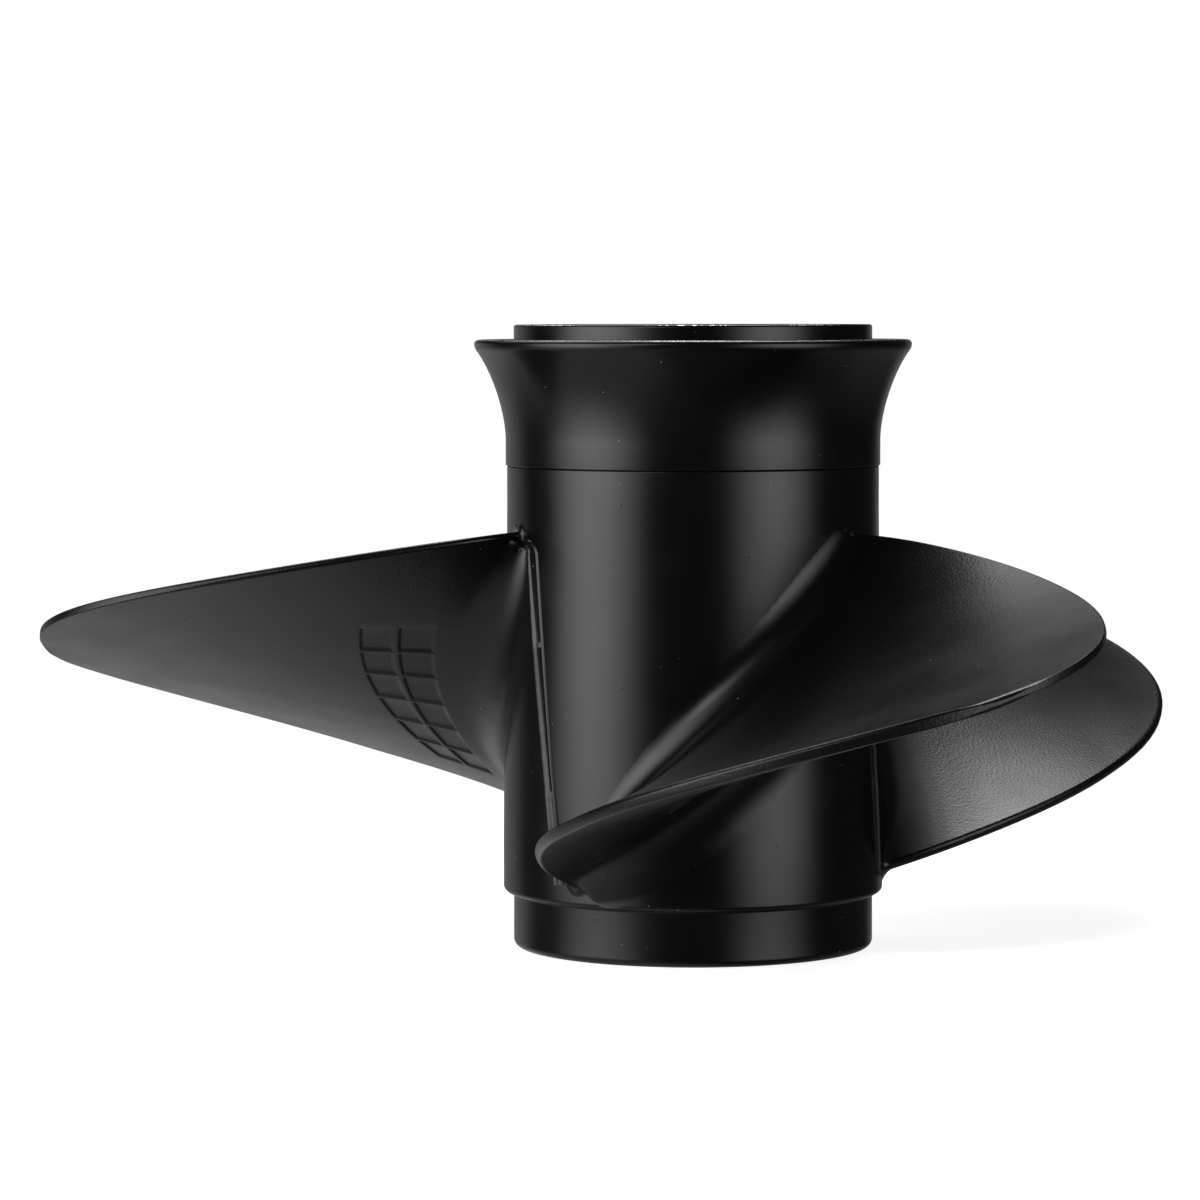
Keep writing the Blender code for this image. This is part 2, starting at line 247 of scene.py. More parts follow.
def length(name, description, default):
    """A length that the user can change in the sidebar, with its default in millimetres."""
    return FloatProperty(
        name=name, description=description, default=default * MM, min=0.0,
        unit="LENGTH", subtype="DISTANCE", precision=4,
    )


def colour(name, description, default):
    """A colour that the user can change in the sidebar."""
    return FloatVectorProperty(
        name=name, description=description, default=default, min=0.0, max=1.0,
        size=3, subtype="COLOR",
    )


def factor(name, description, default):
    """A share from 0 to 1 that the user can change in the sidebar."""
    return FloatProperty(
        name=name, description=description, default=default, min=0.0, max=1.0, subtype="FACTOR",
    )


def brightness(name, description, default):
    """A brightness that the user can change in the sidebar."""
    return FloatProperty(name=name, description=description, default=default, min=0.0)


class BladeSizes(PropertyGroup):
    """Sizes of the three blades."""

    diameter: length("Diameter", "Circle that the blade tips turn in", 295.3)
    pitch: length("Pitch", "Advance of the screw in one turn", 279.4)
    root_thickness: length("Root thickness", "Thickness of a blade at the barrel", 9.5)
    tip_thickness: length("Tip thickness", "Thickness of a blade at its tip", 2.0)
    leading_edge: length("Leading edge", "Thickness of the squarish leading edge", 2.6)
    trailing_edge: length("Trailing edge", "Thickness of the trailing edge", 1.7)
    aft_fillet: length("Aft fillet", "Fillet at the root of the aft face", 7.5)
    forward_fillet: length("Forward fillet", "Fillet at the root of the forward face", 12.0)
    leading_fillet: length("Leading fillet", "Fillet at the root of the leading edge", 2.0)
    trailing_fillet: length("Trailing fillet", "Fillet at the root of the trailing edge", 2.0)


class HubSizes(PropertyGroup):
    """Sizes of the barrel, the flare and the inner hub."""

    spigot_radius: length("Spigot radius", "Outer radius of the front spigot", 40.05)
    front_radius: length("Front radius", "Outer radius of the barrel at its front", 42.3)
    aft_radius: length("Aft radius", "Outer radius of the barrel aft of its taper", 41.35)
    ring_radius: length("Ring radius", "Outer radius of the aft ring", 39.8)
    bore_radius: length("Bore radius", "Inner radius of the barrel", 36.8)
    foot_radius: length("Flare foot", "Outer radius of the flare at the seam", 41.65)
    lip_radius: length("Flare lip", "Outer radius of the flare at its lip", 48.6)
    inner_radius: length("Inner hub", "Outer radius of the inner hub", 26.0)
    inner_bore: length("Inner hub bore", "Radius of the bore that holds the rubber", 22.3)
    rib_thickness: length("Rib thickness", "Thickness of the ribs in the barrel", 6.5)


class SleeveSizes(PropertyGroup):
    """Sizes of the splined sleeve."""

    radius: length("Radius", "Outer radius of the sleeve", 14.6)
    groove_radius: length("Major radius", "Radius at the bottom of the spline's grooves", 12.5)
    tooth_radius: length("Minor radius", "Radius at the tips of the spline's teeth", 11.2)


class Finishes(PropertyGroup):
    """Colours and surface detail."""

    paint: colour("Paint", "Satin black paint", (0.0030, 0.0030, 0.0032))
    bare_metal: colour("Bare metal", "Aluminium where the paint is gone", (0.78, 0.76, 0.71))
    rubber: colour("Rubber", "Bushing rubber", (0.012, 0.0115, 0.011))
    brass: colour("Brass", "Splined sleeve", (0.60, 0.43, 0.17))
    grain_depth: length("Grain depth", "Depth of the sand grain under the blade paint", 0.055)
    paint_roughness: factor("Paint roughness", "Roughness of the satin paint", 0.24)
    blade_roughness: factor("Blade roughness", "Roughness of the blades' coarser skin", 0.31)


class Studio(PropertyGroup):
    """Camera and lights. Brightness 1 is that of the white background."""

    lens: FloatProperty(
        name="Focal length", description="Focal length of the camera",
        default=141.04, min=1.0, unit="CAMERA",
    )
    camera_distance: length("Camera distance", "Distance from the shaft to the camera", 1046.5)
    camera_height: length("Camera height", "Height of the camera above the front rim", 141.7)
    left_light: brightness("Left light", "Large softbox on the left", 3.6)
    right_light: brightness("Right light", "Low softbox on the right", 2.4)
    top_light: brightness("Top light", "Softbox over the back", 7.5)
    back_light: brightness("Back light", "Softbox behind on the left", 3.4)
    front_light: brightness("Front light", "Small softbox on the left of the camera", 3.2)
    floor_glow: brightness("Floor glow", "Floor in reflections", 0.38)


class PropellerSettings(PropertyGroup):
    """All settings of the propeller."""

    blade: PointerProperty(name="Blades", description="Sizes of the blades", type=BladeSizes)
    hub: PointerProperty(name="Hub", description="Sizes of the hub", type=HubSizes)
    sleeve: PointerProperty(name="Sleeve", description="Sizes of the sleeve", type=SleeveSizes)
    finish: PointerProperty(name="Finishes", description="Colours and grain", type=Finishes)
    studio: PointerProperty(name="Studio", description="Camera and lights", type=Studio)


# Meshes


def add_object(name, data):
    """Adds an object to the scene."""
    made = bpy.data.objects.new(name, data)
    bpy.context.scene.collection.objects.link(made)
    return made


def add_mesh(name, bm, finish):
    """Adds an object with the mesh of a bmesh, which it frees."""
    mesh = bpy.data.meshes.new(name)
    bm.to_mesh(mesh)
    bm.free()
    mesh.materials.append(finish)
    return add_object(name, mesh)


def finished_piece(name, bm, finish, slot, *stands_for, sharp_angle=40.0, turn=0.0):
    """Welds and shades a bmesh and makes it a piece that rides with the propeller."""
    bmesh.ops.remove_doubles(bm, verts=bm.verts, dist=WELD_DISTANCE)
    bmesh.ops.recalc_face_normals(bm, faces=bm.faces)
    turned = Matrix.Rotation(turn, 3, "Z")
    bmesh.ops.rotate(bm, verts=bm.verts, cent=(0, 0, 0), matrix=turned)
    piece = add_mesh(name, bm, finish)
    piece.data.shade_smooth()
    piece.data.set_sharp_from_angle(angle=math.radians(sharp_angle))
    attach(piece, "root")
    if stands_for:
        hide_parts(*stands_for)


def around(angle, radius, height):
    """Position at an angle around the shaft, a radius and a height above the front rim."""
    return Vector((radius * math.sin(angle), -radius * math.cos(angle), FRONT_RIM + height))


def lathe(corners, steps=LATHE_STEPS):
    """Spins a closed outline of (radius, height, rounding, segments) corners."""
    bm = bmesh.new()
    verts = [bm.verts.new((radius, 0.0, FRONT_RIM + height)) for radius, height, *_ in corners]
    bm.faces.new(verts)
    for vert, (_, _, rounding, segments) in zip(verts, corners):
        if rounding:
            bmesh.ops.bevel(
                bm, geom=[vert], offset=rounding, offset_type="OFFSET", affect="VERTICES",
                segments=segments, profile=0.5, material=-1,
            )
    bmesh.ops.delete(bm, geom=bm.faces[:], context="FACES_ONLY")
    bmesh.ops.spin(
        bm, geom=bm.verts[:] + bm.edges[:], cent=(0, 0, 0), axis=(0, 0, 1),
        angle=math.tau, steps=steps, use_merge=True,
    )
    return bm


def shaped_grid(bm, columns, rows, position):
    """Adds a grid and moves each of its vertices to position(column, row)."""
    grid = bmesh.ops.create_grid(bm, x_segments=columns, y_segments=rows, size=1.0)["verts"]
    for vert in grid:
        column = round((vert.co.x + 1.0) / 2 * columns)
        row = round((vert.co.y + 1.0) / 2 * rows)
        vert.co = position(column, row)


def skin(bm, loops, place, cap_rows=1):
    """Wraps a grid around closed loops of (a, b) points and closes its two ends.

    place(row, a, b) gives the position of a loop's point. Opposite columns of a loop
    face each other, so that a cap can run straight between them.
    """
    count = len(loops[0])

    def on_skin(column, row):
        return place(row, *loops[row][column % count])

    def on_cap(row):
        def position(column, cap_row):
            near, far = loops[row][column], loops[row][-column]
            share = cap_row / cap_rows
            return place(row, *(n + (f - n) * share for n, f in zip(near, far)))
        return position

    shaped_grid(bm, count, len(loops) - 1, on_skin)
    for row in (0, len(loops) - 1):
        shaped_grid(bm, count // 2, cap_rows, on_cap(row))


def superellipse(centre, radius, squareness, start, end, steps):
    """Points inside an arc of a superellipse, without its two ends."""
    points = []
    for step in range(1, steps):
        angle = math.radians(start + (end - start) * step / steps)
        across, up = math.cos(angle), math.sin(angle)
        points.append((
            centre + math.copysign(radius * abs(across) ** (2.0 / squareness), across),
            math.copysign(radius * abs(up) ** (2.0 / squareness), up),
        ))
    return points


def rounded_loop(nose, tail, over, under, steps):
    """Closed loop from a round nose over one side, around the tail and back under the other.

    The nose and the tail are given by their centre, radius and squareness.
    """
    return [
        (nose[0] - nose[1], 0.0),
        *superellipse(*nose, 180, 90, steps),
        *over,
        *superellipse(*tail, 90, -90, 2 * steps),
        *reversed(under),
        *superellipse(*nose, 270, 180, steps),
    ]


def fillet_rows(size, count):
    """Distances of a fillet's rows from the wall it runs onto, closest together at the wall."""
    return [size * (1.0 - math.cos(math.pi / 2 * row / count)) for row in range(count)]


def fillet_growth(size, distance):
    """How far a fillet stands out at a distance from the wall it runs onto."""
    if distance < 0.0:
        return size + FOOT_REACH * -distance / FOOT_DEPTH
    if distance >= size:
        return 0.0
    return size - math.sqrt(size ** 2 - (size - distance) ** 2)


def clamped(value):
    """The value, kept between 0 and 1."""
    return min(max(value, 0.0), 1.0)


def progress(value, start, end):
    """How far a value is from start to end, from 0 to 1."""
    return clamped((value - start) / (end - start))


def blend(start, end, share):
    """Value at a share of the way from start to end."""
    return start + (end - start) * share


def polynomial(terms, value):
    """Sum of the terms times rising powers of a value."""
    return sum(term * value ** power for power, term in enumerate(terms))


def barrel_radius(hub, height):
    """Outer radius of the barrel between its front edge and the seam."""
    return blend(hub.front_radius, hub.aft_radius, progress(height, TAPER_START, TAPER_END))


def wall_lines(borders, land, low_wall, high_wall):
    """Places of mesh lines along the walls of the cells between borders."""
    lines = []
    for low, high in zip(borders, borders[1:]):
        lines += [low + land + low_wall * step for step in WALL_STEPS]
        lines += [high - land - high_wall * step for step in WALL_STEPS]
    return lines


def sunk(place, borders, land, low_wall, high_wall):
    """How deep a place is in its cell, from 0 on a land to 1 on the floor."""
    for low, high in zip(borders, borders[1:]):
        if low <= place <= high:
            down = clamped(min((place - low - land) / low_wall, (high - land - place) / high_wall))
            return down ** 2 * (3.0 - 2.0 * down)
    return 0.0


def with_lines(places, lines, apart):
    """Adds mesh lines to places, and drops the places that are too close to them."""
    kept = [place for place in places if all(abs(place - line) > apart for line in lines)]
    return sorted(kept + lines)


def grid_lean(radius, share):
    """How far the grid's arcs lean outwards at a share of the chord."""
    outer = GRID_RADII[-1]
    zone = progress(radius, GRID_RADII[0] - LEAN_START, outer)
    zone *= clamped((outer + LEAN_END - radius) / LEAN_FADE)
    return -GRID_LEAN * zone * math.sin(math.tau * share)


class BladeSection:
    """The profile of the first blade on a cylinder at a distance from the barrel."""

    def __init__(self, settings, distance):
        blade = settings.blade
        self.hub = settings.hub
        self.edge_fillets = (blade.leading_fillet, blade.trailing_fillet)
        self.face_fillets = (blade.aft_fillet, blade.forward_fillet)
        self.distance = distance
        reach = blade.diameter / 2 - ROOT_CYLINDER
        self.span = max(distance / reach, 0.0)
        self.fullness = math.sqrt(max(1.0 - self.span ** TIP_ROUNDING, 0.0))
        self.radius = ROOT_CYLINDER + distance
        middle = polynomial(MIDLINE_TERMS, self.span)
        half_width = polynomial(HALF_WIDTH_TERMS, self.span) * self.fullness
        self.leading = math.radians(middle - half_width)
        self.slope = math.atan2(blade.pitch, math.tau * self.radius)
        self.chord = math.radians(2 * half_width) * self.radius / math.cos(self.slope)
        self.start = SCREW_HEIGHT + blade.pitch * (self.leading - SCREW_ANGLE) / math.tau
        inwards = progress(self.span, *TURN_FADE)
        near_root = clamped(1.0 - distance / ROOT_TURN_REACH) ** 2
        self.turns = (LEADING_TURN * inwards + ROOT_TURN * near_root, TRAILING_TURN * near_root)
        self.ease = EASED_SHARE * progress(self.span, *EASED_SPAN)

        tip_gap = min((reach - distance) / (blade.leading_edge / 2), 1.0)
        tip_round = math.sqrt(1.0 - (1.0 - tip_gap) ** 2)
        self.nose = blade.leading_edge / 2 * tip_round
        self.tail = blade.trailing_edge / 2 * tip_round
        thinning = (1.0 - self.span) ** THICKNESS_POWER
        thickness = blend(blade.tip_thickness, blade.root_thickness, thinning)
        crowning = min(1.0, self.chord / FULL_CAMBER_CHORD) * tip_round
        self.crown = (thickness - self.nose - self.tail) * crowning

    def face(self, share):
        """Place along the chord and offsets of the aft and the forward face."""
        reach = THICKEST_SHARE if share < THICKEST_SHARE else 1.0 - THICKEST_SHARE
        camber = 1.0 - ((share - THICKEST_SHARE) / reach) ** 2
        along = self.nose + (self.chord - self.nose - self.tail) * share
        middle = max(math.sin(math.pi * share), 0.0)
        edge_fillet = blend(*self.edge_fillets, share)
        powers = (AFT_FILLET_POWERS[share > 0.5], FORWARD_FILLET_POWER)
        aft, forward = (
            blend(self.nose, self.tail, share)
            + fillet_growth(blend(edge_fillet, fillet, middle ** power), self.distance)
            for fillet, power in zip(self.face_fillets, powers)
        )
        cell = CELL_DEPTH * min(
            sunk(self.radius, GRID_RADII, *RADIUS_WALLS), sunk(share, GRID_SHARES, *SHARE_WALLS),
        )
        return along, aft, cell - forward - self.crown * camber

    def loop(self):
        """Closed loop of points from the leading edge over the aft face and back."""
        shares = with_lines(
            [0.5 - 0.5 * math.cos(math.pi * step / CHORD_STEPS) for step in range(CHORD_STEPS + 1)],
            wall_lines(GRID_SHARES, *SHARE_WALLS), SHARES_APART,
        )
        faces = [self.face(share) for share in shares]
        grown, tail_grown = (fillet_growth(fillet, self.distance) for fillet in self.edge_fillets)
        squareness = blend(*SQUARENESS, progress(self.span, *SQUARE_SPAN))
        nose = (self.nose, self.nose + grown, squareness)
        tail = (self.chord - self.tail, self.tail + tail_grown, squareness)
        aft_side = [(along, aft) for along, aft, _ in faces]
        forward_side = [(along, forward) for along, _, forward in faces]
        points = rounded_loop(nose, tail, aft_side, forward_side, EDGE_STEPS)
        return [self.eased(*point) for point in points]

    def eased(self, along, offset):
        """Rounds the aft face off softly towards the leading edge."""
        near = max(1.0 - along / EASED_REACH, 0.0)
        return along, offset * (1.0 - self.ease * near ** EASED_POWER) if offset > 0.0 else offset

    def point(self, along, offset):
        """Position of a point of the section; the barrel's taper fades out towards the tip."""
        share = clamped(along / self.chord) if self.chord > 0.0 else 0.0
        trailing = share >= 0.5
        edge = (1.0 - 2.0 * share) ** 2
        ahead = along * math.cos(self.slope) - offset * math.sin(self.slope)
        angle = self.leading + ahead / self.radius
        angle += self.turns[trailing] * edge
        height = self.start + along * math.sin(self.slope) + offset * math.cos(self.slope)
        height += EDGE_LIFTS[trailing] * edge * self.fullness
        taper = (barrel_radius(self.hub, height) - ROOT_CYLINDER) * (1.0 - self.span)
        return around(angle, self.radius + taper + grid_lean(self.radius, share), height)


def skin_distances(blade):
    """Distances from the barrel at which the blade skin has a row."""
    reach = blade.diameter / 2 - ROOT_CYLINDER
    distances = [-FOOT_DEPTH, *fillet_rows(blade.forward_fillet, FILLET_ROWS)]
    for row in range(SPAN_ROWS):
        distances.append(blend(blade.forward_fillet, TIP_ZONE * reach, row / SPAN_ROWS))
    first = math.asin(TIP_ZONE ** (TIP_ROUNDING / 2))
    for row in range(TIP_ROWS):
        angle = blend(first, math.pi / 2, row / TIP_ROWS)
        distances.append(reach * math.sin(angle) ** (2 / TIP_ROUNDING))
    distances.append(reach - TIP_GAP)
    lines = [radius - ROOT_CYLINDER for radius in wall_lines(GRID_RADII, *RADIUS_WALLS)]
    return with_lines(distances, lines, ROWS_APART)


# Surface detail as node groups


def add_node(tree, kind, inputs=None, **values):
    """Adds a node, sets its values, and links or sets its inputs."""
    made = tree.nodes.new(kind)
    for key, value in values.items():
        setattr(made, key, value)
    for key, value in (inputs or {}).items():
        if isinstance(value, bpy.types.NodeSocket):
            tree.links.new(value, made.inputs[key])
        else:
            made.inputs[key].default_value = value
    return made


def maths(tree, operation, first, second=0.0, third=0.0):
    """Result of an operation on numbers or sockets."""
    node = add_node(tree, "ShaderNodeMath", {0: first, 1: second, 2: third}, operation=operation)
    return node.outputs[0]


def vector_length(tree, vector, parts=(1.0, 1.0, 1.0)):
    """Length of a vector socket, with its x, y and z times the parts."""
    scaled = add_node(tree, "ShaderNodeVectorMath", {0: vector, 1: parts}, operation="MULTIPLY")
    node = add_node(tree, "ShaderNodeVectorMath", {0: scaled.outputs[0]}, operation="LENGTH")
    return node.outputs["Value"]


def towards(tree, vector, direction):
    """How far a vector socket reaches in a direction."""
    node = add_node(
        tree, "ShaderNodeVectorMath", {0: vector, 1: direction}, operation="DOT_PRODUCT",
    )
    return node.outputs["Value"]


def mixed(tree, share, first, second, kind="RGBA"):
    """Mix of two colours, or of two numbers with kind FLOAT."""
    inputs = {"Factor": share, "A": first, "B": second}
    return add_node(tree, "ShaderNodeMix", inputs, data_type=kind).outputs["Result"]


def object_place(tree):
    """Place on the object, in metres from its origin."""
    return add_node(tree, "ShaderNodeTexCoord").outputs["Object"]


def ramp(tree, value, low, high, to_low=0.0, to_high=1.0):
    """Smooth step of a value between two limits."""
    node = add_node(
        tree, "ShaderNodeMapRange",
        {"Value": value, "From Min": low, "From Max": high, "To Min": to_low, "To Max": to_high},
        interpolation_type="SMOOTHSTEP",
    )
    return node.outputs["Result"]


def new_group(name, inputs, outputs):
    """A node group with named number sockets; returns it with its inputs and output node."""
    group = bpy.data.node_groups.new(name, "ShaderNodeTree")
    for socket, value in inputs.items():
        made = group.interface.new_socket(socket, in_out="INPUT", socket_type="NodeSocketFloat")
        made.default_value = value
    for socket in outputs:
        group.interface.new_socket(socket, in_out="OUTPUT", socket_type="NodeSocketFloat")
    entry = group.nodes.new("NodeGroupInput")
    leave = group.nodes.new("NodeGroupOutput")
    return group, entry.outputs, leave.inputs, object_place(group)


def noise_texture(tree, place, scale, detail, roughness=0.5):
    """Noise from 0 to 1."""
    inputs = {"Vector": place, "Scale": scale, "Detail": detail, "Roughness": roughness}
    return add_node(tree, "ShaderNodeTexNoise", inputs).outputs["Fac"]


def noise_height(group, place, scale, depth, detail):
    """Noise around zero, times a depth."""
    centred = maths(group, "SUBTRACT", noise_texture(group, place, scale, detail, 0.55), 0.5)
    return maths(group, "MULTIPLY", centred, depth)


def cast_surface():
    """Sand grain and slow ripple of the casting under its paint, as a height in metres.

    The grain fades out inside the smooth radius around the shaft, as the Coarse mask tells.
    """
    group, given, out, place = new_group(
        "cast_surface",
        {
            "Grain Size": 0.5 * MM, "Grain Depth": 0.01 * MM, "Ripple Depth": 0.02 * MM,
            "Smooth Radius": 0.0,
        },
        ["Height", "Coarse"],
    )
    radius = vector_length(group, place, ACROSS_SHAFT)
    outside = maths(group, "SUBTRACT", radius, given["Smooth Radius"])
    coarse = ramp(group, outside, 0.0, GRAIN_FADE)
    group.links.new(coarse, out["Coarse"])
    scale = maths(group, "DIVIDE", 1.0, given["Grain Size"])
    grown = maths(group, "MULTIPLY_ADD", coarse, 1.0 - LEAST_GRAIN, LEAST_GRAIN)
    depth = maths(group, "MULTIPLY", given["Grain Depth"], grown)
    grain = noise_height(group, place, scale, depth, detail=1.0)
    ripple = noise_height(group, place, 55.0, given["Ripple Depth"], detail=1.0)
    group.links.new(maths(group, "ADD", grain, ripple), out["Height"])
    return group


def paint_specks():
    """Scattered paint nibs and dust, as a height in metres and a mask."""
    group, given, out, place = new_group(
        "paint_specks",
        {"Spacing": 6.0 * MM, "Speck Radius": 0.25 * MM, "Share": 0.1, "Depth": 0.06 * MM},
        ["Height", "Mask"],
    )
    scale = maths(group, "DIVIDE", 1.0, given["Spacing"])
    cells = add_node(group, "ShaderNodeTexVoronoi", {"Vector": place, "Scale": scale})
    distance = maths(group, "MULTIPLY", cells.outputs["Distance"], given["Spacing"])
    edge = maths(group, "MULTIPLY", given["Speck Radius"], 0.3)
    inside = ramp(group, distance, given["Speck Radius"], edge)
    chances = add_node(group, "ShaderNodeSeparateColor", {"Color": cells.outputs["Color"]})
    shown = maths(group, "LESS_THAN", chances.outputs[0], given["Share"])
    mask = maths(group, "MULTIPLY", inside, shown)
    group.links.new(mask, out["Mask"])
    group.links.new(maths(group, "MULTIPLY", mask, given["Depth"]), out["Height"])
    return group


def worn_rim():
    """Patchy wear along a circular rim around the shaft, as a mask."""
    group, given, out, place = new_group(
        "worn_rim",
        {"Rim Radius": 40.0 * MM, "Rim Height": 0.0, "Reach": 0.4 * MM, "Patchiness": 0.5},
        ["Mask"],
    )
    radius = vector_length(group, place, ACROSS_SHAFT)
    outward = maths(group, "SUBTRACT", radius, given["Rim Radius"])
    upward = maths(group, "SUBTRACT", towards(group, place, UP), given["Rim Height"])
    away = add_node(group, "ShaderNodeCombineXYZ", {"X": outward, "Y": upward})
    distance = vector_length(group, away.outputs[0])
    patches = noise_height(group, place, scale=45.0, depth=2.0, detail=1.0)
    crumbs = noise_height(group, place, scale=900.0, depth=1.2, detail=3.0)
    spread = maths(group, "ADD", maths(group, "ADD", patches, crumbs), given["Patchiness"])
    reach = maths(group, "MULTIPLY", given["Reach"], spread)
    inner = maths(group, "MULTIPLY", reach, 0.7)
    positive = maths(group, "GREATER_THAN", reach, 0.0)
    worn = ramp(group, distance, reach, inner)
    group.links.new(maths(group, "MULTIPLY", worn, positive), out["Mask"])
    return group


def add_group(tree, build, **inputs):
    """Adds a node group, which is built on its first use and has its function's name."""
    node = tree.nodes.new("ShaderNodeGroup")
    node.node_tree = bpy.data.node_groups.get(build.__name__) or build()
    for key, value in inputs.items():
        node.inputs[key.replace("_", " ").title()].default_value = value
    return node


def new_material(name):
    """A new material, with its node tree and its shader."""
    finish = bpy.data.materials.new(name)
    finish.use_nodes = True
    tree = finish.node_tree
    return finish, tree, tree.nodes["Principled BSDF"]


def opaque(channels, shade=1.0):
    """A colour at a shade of its brightness, with full alpha."""
    return (*(channel * shade for channel in channels), 1.0)


def dress(tree, shader, base, rough, height):
    """Feeds a colour, a roughness and a height in metres to a shader."""
    tree.links.new(base, shader.inputs["Base Color"])
    tree.links.new(rough, shader.inputs["Roughness"])
    bump = add_node(tree, "ShaderNodeBump", {"Height": height, "Strength": 1.0, "Distance": 1.0})
    tree.links.new(bump.outputs["Normal"], shader.inputs["Normal"])


def painted(name, finish, rim=None, lighter=1.0, smooth_radius=SMOOTH_RADIUS):
    """Satin black paint with grain, nibs and dust, worn to bare metal at a rim if one is given."""
    made, tree, shader = new_material(name)
    surface = add_group(
        tree, cast_surface,
        grain_size=0.6 * MM, grain_depth=finish.grain_depth, ripple_depth=0.035 * MM,
        smooth_radius=smooth_radius,
    )
    nibs = add_group(
        tree, paint_specks,
        spacing=5.5 * MM, speck_radius=0.35 * MM, share=0.35, depth=0.05 * MM,
    )
    dust = add_group(
        tree, paint_specks,
        spacing=4.0 * MM, speck_radius=0.2 * MM, share=0.4, depth=0.0,
    )
    base = mixed(tree, dust.outputs["Mask"], opaque(finish.paint, lighter), DUST_COLOUR)
    patches = noise_texture(tree, object_place(tree), scale=70.0, detail=4.0)
    spread = (finish.paint_roughness + change for change in ROUGHNESS_SPREAD)
    rough = ramp(tree, patches, 0.3, 0.7, *spread)
    coarser = finish.blade_roughness - finish.paint_roughness
    coarser = maths(tree, "MULTIPLY", surface.outputs["Coarse"], coarser)
    rough = maths(tree, "ADD", rough, coarser)
    if rim:
        worn = add_group(tree, worn_rim, **rim).outputs["Mask"]
        base = mixed(tree, worn, base, opaque(finish.bare_metal))
        rough = mixed(tree, worn, rough, BARE_ROUGHNESS, kind="FLOAT")
        tree.links.new(worn, shader.inputs["Metallic"])
    height = maths(tree, "ADD", surface.outputs["Height"], nibs.outputs["Height"])
    dress(tree, shader, base, rough, height)
    return made


def rubber_finish(finish):
    """Dull moulded rubber."""
    made, tree, shader = new_material("bushing_rubber")
    surface = add_group(
        tree, cast_surface,
        grain_size=0.25 * MM, grain_depth=0.012 * MM, ripple_depth=0.03 * MM,
    )
    bloom = noise_texture(tree, object_place(tree), scale=160.0, detail=5.0)
    pale = opaque(finish.rubber, 2.6)
    base = mixed(tree, ramp(tree, bloom, 0.42, 0.72), opaque(finish.rubber), pale)
    rough = ramp(tree, bloom, 0.3, 0.7, to_low=0.62, to_high=0.82)
    dress(tree, shader, base, rough, surface.outputs["Height"])
    return made


def brass_finish(finish):
    """Turned and broached brass with a little tarnish."""
    made, tree, shader = new_material("sleeve_brass")
    place = object_place(tree)
    stretched = add_node(tree, "ShaderNodeMapping", {"Vector": place, "Scale": (1.0, 1.0, 30.0)})
    marks = noise_texture(tree, stretched.outputs[0], scale=160.0, detail=3.0)
    tarnish = noise_texture(tree, place, scale=120.0, detail=5.0)
    dark = opaque(channel * shade for channel, shade in zip(finish.brass, TARNISH_SHADES))
    base = mixed(tree, ramp(tree, tarnish, 0.4, 0.75), opaque(finish.brass), dark)
    rough = ramp(tree, tarnish, 0.3, 0.75, to_low=0.24, to_high=0.46)
    shader.inputs["Metallic"].default_value = 1.0
    dress(tree, shader, base, rough, maths(tree, "MULTIPLY", marks, 0.006 * MM))
    return made


def skins_around(pattern, stem, wrapped, finish, slot, sharp_angle=60.0, replaces=True, **look):
    """Wraps the same skin once for each blade, as a piece that may stand for a solid."""
    for number in range(1, BLADES + 1):
        bm = bmesh.new()
        skin(bm, *wrapped)
        solids = [f"{stem}_{number}"] if replaces else []
        finished_piece(
            pattern.format(number), bm, painted(f"{stem}_{number}_paint", finish, **look), slot,
            *solids, sharp_angle=sharp_angle, turn=math.tau * (number - 1) / BLADES,
        )


# Operators, one for each piece or group of like pieces


class PROPELLER_OT_barrel(Operator):
    """Turn the barrel with its front spigot, taper, shoulder and aft ring"""

    bl_idname = "propeller.barrel"
    bl_label = "Barrel"

    def execute(self, context):
        settings = context.scene.propeller
        hub = settings.hub
        shoulder = SEAM_HEIGHT - SEAM_LINE
        bm = lathe([
            (hub.bore_radius, 0.0, 0.5 * MM, 3),
            (hub.spigot_radius, 0.0, 1.7 * MM, 10),
            (hub.spigot_radius, SPIGOT_TOP, 0.5 * MM, 5),
            (hub.front_radius, SPIGOT_TOP, 1.3 * MM, 10),
            (hub.front_radius, TAPER_START, 6.0 * MM, 6),
            (hub.aft_radius, TAPER_END, 6.0 * MM, 6),
            (hub.aft_radius, shoulder, 0.22 * MM, 5),
            (hub.ring_radius, shoulder, 0.3 * MM, 3),
            (hub.ring_radius, HUB_LENGTH, 0.6 * MM, 8),
            (hub.bore_radius, HUB_LENGTH, 0.5 * MM, 4),
        ])
        rim = {
            "rim_radius": hub.ring_radius - 0.3 * MM, "rim_height": FRONT_RIM + HUB_LENGTH,
            "reach": 0.6 * MM, "patchiness": 0.15,
        }
        finish = painted("barrel_paint", settings.finish, rim)
        finished_piece("barrel_casting", bm, finish, "hub_paint", "barrel")
        return {"FINISHED"}


